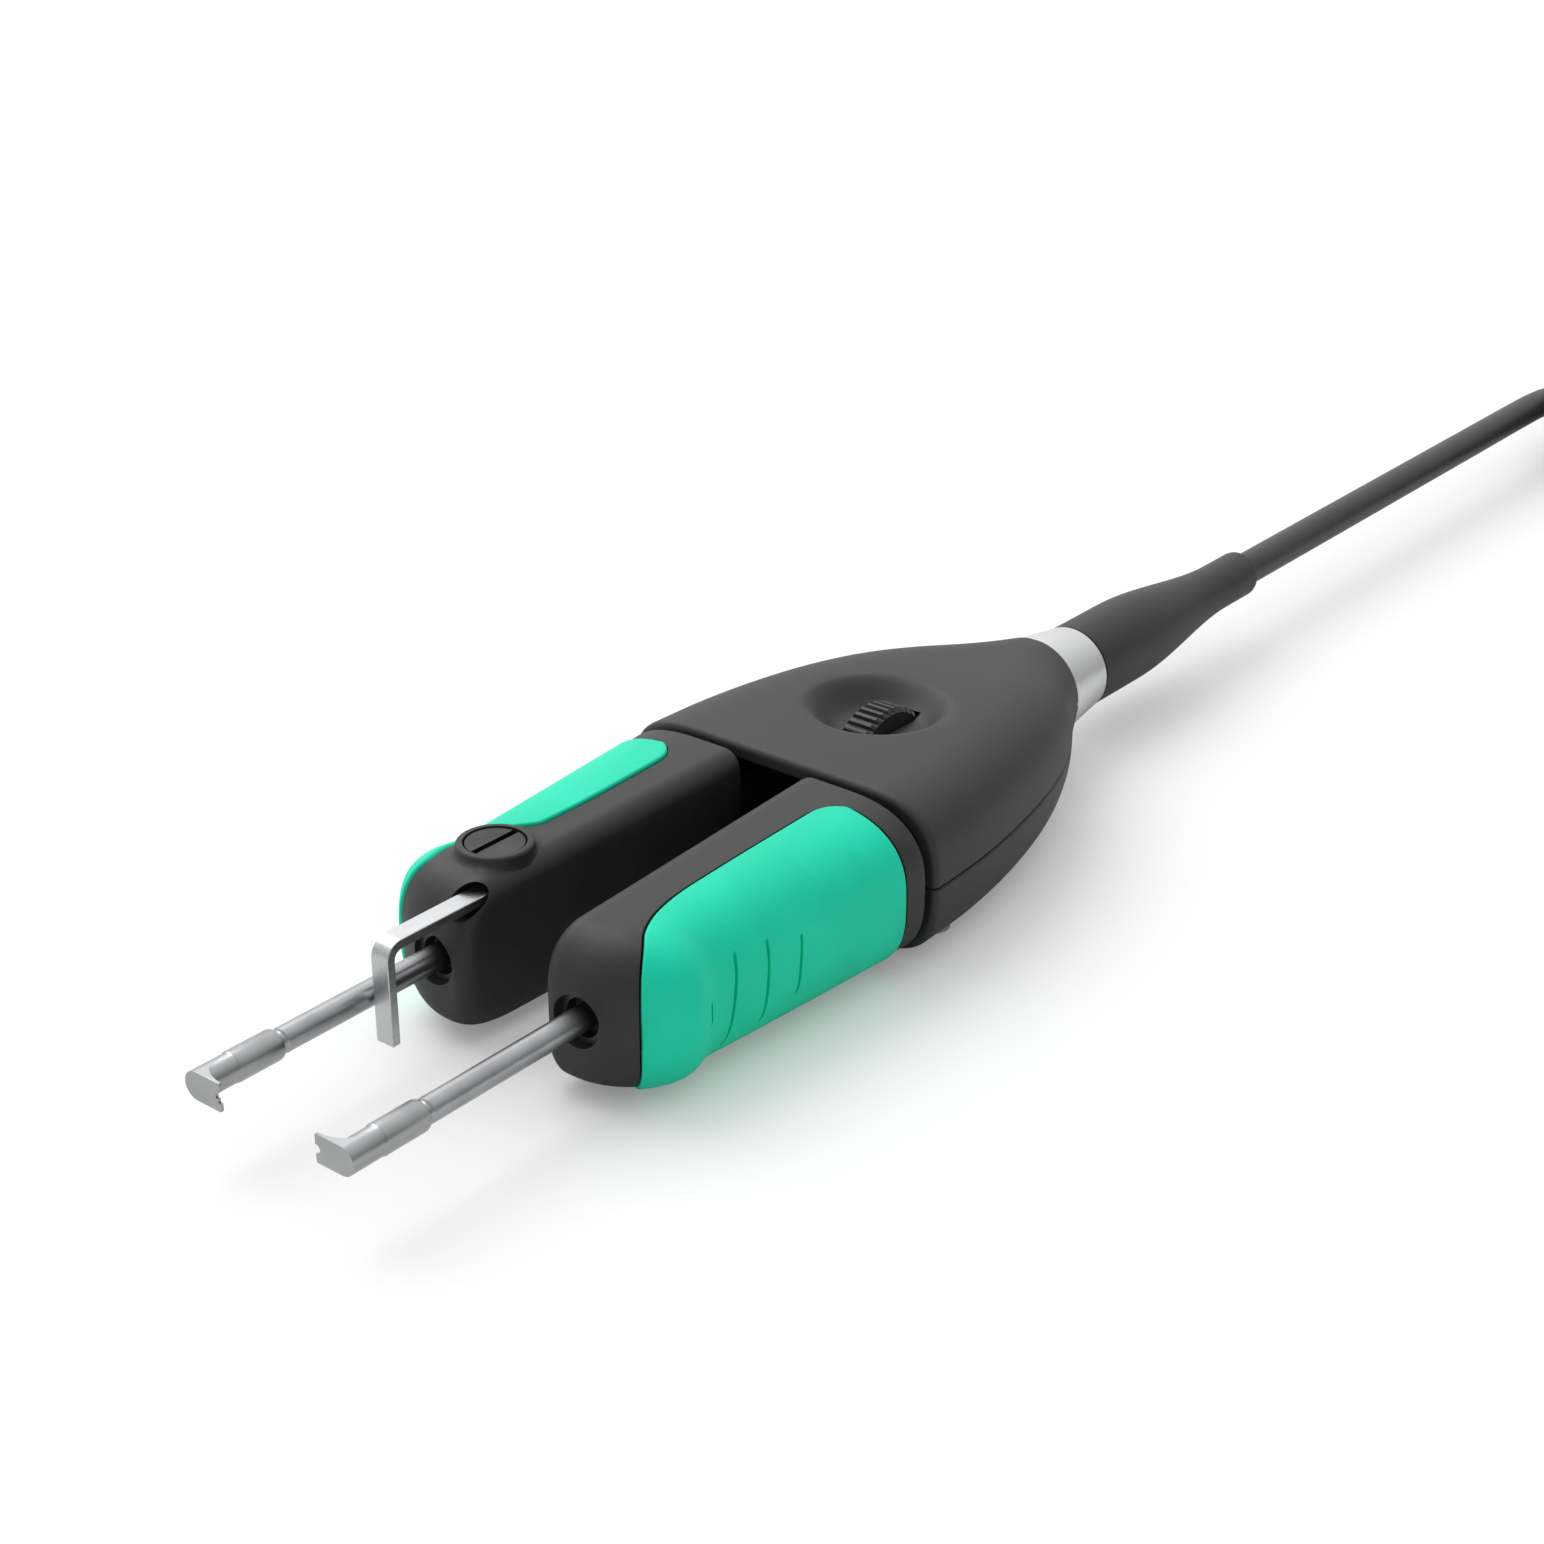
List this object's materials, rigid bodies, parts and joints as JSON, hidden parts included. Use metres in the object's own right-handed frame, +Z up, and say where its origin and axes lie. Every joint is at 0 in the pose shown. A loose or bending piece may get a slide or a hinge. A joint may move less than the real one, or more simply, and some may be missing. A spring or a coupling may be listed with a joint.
{
  "type": "thermal wire stripper",
  "caption": "Hand tool with hinged arms that close heated blades on a wire, a sliding length gauge, a thumbwheel closing stop and a cable with its plug.",
  "frame": {"origin": "middle of the tool's box at the surface it rests on, without the cable", "axes": "+Z up, the blades point along -Y, the cable leaves along +Y; the user's left arm is at +X"},
  "size_m": [0.088, 0.3653, 0.0214],
  "materials": {
    "housing_plastic": "fine-textured moulded plastic, dark grey",
    "arm_plastic": "fine-textured moulded plastic, dark grey",
    "grip_rubber": "satin soft-touch moulding, mint green",
    "collar_aluminium": "satin turned aluminium",
    "boot_rubber": "matt moulded rubber",
    "cable_jacket": "matt extruded jacket",
    "tie_nylon": "black nylon",
    "blade_steel": "bead-blasted alloy, satin grey",
    "shaft_steel": "drawn stainless tube",
    "contact_gold": "gold-plated contacts",
    "socket_plastic": "heat-resistant black plastic",
    "gauge_steel": "bright rolled stainless strip",
    "clamp_steel": "zinc-plated steel",
    "insert_brass": "turned brass",
    "screw_black": "blackened steel",
    "pin_steel": "ground steel",
    "spring_steel": "spring wire",
    "bearing_acetal": "natural acetal",
    "wheel_plastic": "black moulded plastic",
    "lead_silicone": "silicone lead, red",
    "plug_metal": "nickel-plated metal",
    "plug_grip_rubber": "black rubber sleeve"
  },
  "bodies": {
    "housing": {"upper_housing": "housing_plastic", "lower_housing": "housing_plastic", "housing_screws": "clamp_steel", "collar": "collar_aluminium", "strain_relief": "boot_rubber", "cable_clamp": "clamp_steel", "cable_clamp_screws": "clamp_steel", "cable_end": "cable_jacket", "housing_leads": "lead_silicone", "left_hinge_pin": "pin_steel", "right_hinge_pin": "pin_steel", "spindle_bearings": "bearing_acetal", "cable": "cable_jacket", "cable_coil": "cable_jacket", "cable_tie": "tie_nylon", "plug_boot": "boot_rubber", "plug_shell": "plug_metal", "plug_grip": "plug_grip_rubber", "plug_insert": "socket_plastic"},
    "stop_wheel": {"thumbwheel": "wheel_plastic", "stop_spindle": "pin_steel"},
    "left_nut": {"left_stop_nut": "insert_brass"},
    "right_nut": {"right_stop_nut": "insert_brass"},
    "left_jaw": {"left_arm": "arm_plastic", "left_grip": "grip_rubber", "left_socket": "socket_plastic", "left_lead": "lead_silicone", "left_hinge_bush": "insert_brass", "left_return_spring": "spring_steel"},
    "right_jaw": {"right_arm": "arm_plastic", "right_grip": "grip_rubber", "right_socket": "socket_plastic", "right_lead": "lead_silicone", "right_hinge_bush": "insert_brass", "right_return_spring": "spring_steel", "gauge_clamp_plate": "clamp_steel", "gauge_clamp_insert": "insert_brass"},
    "left_cartridge": {"left_blade": "blade_steel", "left_shaft": "shaft_steel", "left_contacts": "contact_gold"},
    "right_cartridge": {"right_blade": "blade_steel", "right_shaft": "shaft_steel", "right_contacts": "contact_gold"},
    "gauge": {"gauge_strip": "gauge_steel"},
    "clamp_screw": {"gauge_screw": "screw_black"}
  },
  "joints": [
    {"name": "left_arm_close", "type": "hinge", "parent": "housing", "child": "left_jaw", "pos_m": [0.011, 0.01626, 0.0106], "axis": [0, 0, -1], "range_deg": [0, 3.54], "stiffness_Nm_per_rad": 0.4, "springref_deg": -17.19},
    {"name": "right_arm_close", "type": "hinge", "parent": "housing", "child": "right_jaw", "pos_m": [-0.011, 0.01626, 0.0106], "axis": [0, 0, 1], "range_deg": [0, 3.54], "stiffness_Nm_per_rad": 0.4, "springref_deg": -17.19},
    {"name": "stop_wheel_turn", "type": "hinge", "parent": "housing", "child": "stop_wheel", "pos_m": [0, 0.00431, 0.01255], "axis": [1, 0, 0], "range_deg": [-720, 0]},
    {"name": "left_nut_travel", "type": "slide", "parent": "housing", "child": "left_nut", "axis": [-1, 0, 0], "range_m": [-0.001, 0]},
    {"name": "right_nut_travel", "type": "slide", "parent": "housing", "child": "right_nut", "axis": [1, 0, 0], "range_m": [-0.001, 0]},
    {"name": "left_cartridge_pull", "type": "slide", "parent": "left_jaw", "child": "left_cartridge", "axis": [0, 1, 0], "range_m": [-0.02, 0]},
    {"name": "right_cartridge_pull", "type": "slide", "parent": "right_jaw", "child": "right_cartridge", "axis": [0, 1, 0], "range_m": [-0.02, 0]},
    {"name": "gauge_slide", "type": "slide", "parent": "right_jaw", "child": "gauge", "axis": [0, -1, 0], "range_m": [-0.007, 0.015]},
    {"name": "gauge_screw_turn", "type": "hinge", "parent": "right_jaw", "child": "clamp_screw", "pos_m": [-0.011, -0.05428, 0.0185], "axis": [0, 0, 1], "range_deg": [0, 360]}
  ],
  "couplings": [
    {"joint": "stop_wheel_turn", "follows": "left_nut_travel", "rad_per_m": 12566},
    {"joint": "right_nut_travel", "follows": "left_nut_travel", "ratio": 1}
  ]
}
